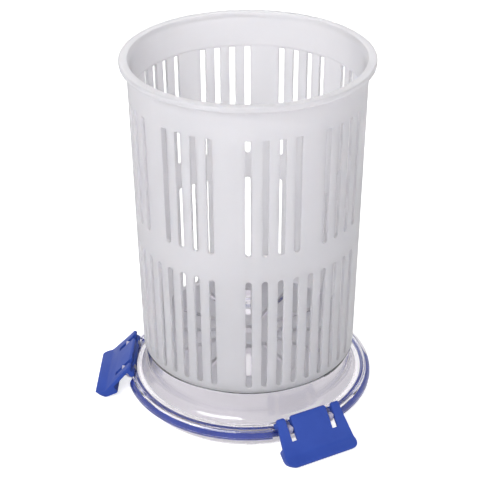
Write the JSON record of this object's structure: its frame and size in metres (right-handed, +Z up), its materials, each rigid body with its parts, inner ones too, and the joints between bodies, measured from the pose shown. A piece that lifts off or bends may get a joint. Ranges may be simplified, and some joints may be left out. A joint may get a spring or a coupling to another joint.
{
  "type": "food storage container",
  "caption": "Tapered strainer basket with slotted wall and flange rim, standing on its clear clip-on lid with a blue seal ring and hinged blue clips.",
  "frame": {"origin": "centre of the plug skirt's lower edge, on the surface the lid stands on", "axes": "+Z up along the shared axis of basket and lid, -Y toward the viewer of the picture, +X to the viewer's right"},
  "size_m": [0.1468, 0.1581, 0.188],
  "materials": {
    "clear_plastic": "polished clear",
    "blue_seal": "soft silicone",
    "milky_plastic": "milky translucent satin",
    "blue_plastic": "satin"
  },
  "bodies": {
    "lid_body": {"lid": "clear_plastic", "lid_seal": "blue_seal"},
    "basket_body": {"strainer_basket": "milky_plastic"},
    "clip_front_body": {"clip_front": "blue_plastic"},
    "clip_left_body": {"clip_left": "blue_plastic"},
    "clip_back_body": {"clip_back": "blue_plastic"}
  },
  "joints": [
    {"name": "basket_lift", "type": "slide", "parent": "lid_body", "child": "basket_body", "axis": [0, 0, 1], "range_m": [0, 0.06]},
    {"name": "clip_front_hinge", "type": "hinge", "parent": "lid_body", "child": "clip_front_body", "pos_m": [0.02873, -0.05404, 0.014], "axis": [-0.8829, -0.4695, 0], "range_deg": [-42, 75]},
    {"name": "clip_left_hinge", "type": "hinge", "parent": "lid_body", "child": "clip_left_body", "pos_m": [-0.06116, 0.00214, 0.014], "axis": [0.0349, 0.9994, 0], "range_deg": [-42, 75]},
    {"name": "clip_back_hinge", "type": "hinge", "parent": "lid_body", "child": "clip_back_body", "pos_m": [0.03243, 0.0519, 0.014], "axis": [0.848, -0.5299, 0], "range_deg": [-42, 75]}
  ]
}
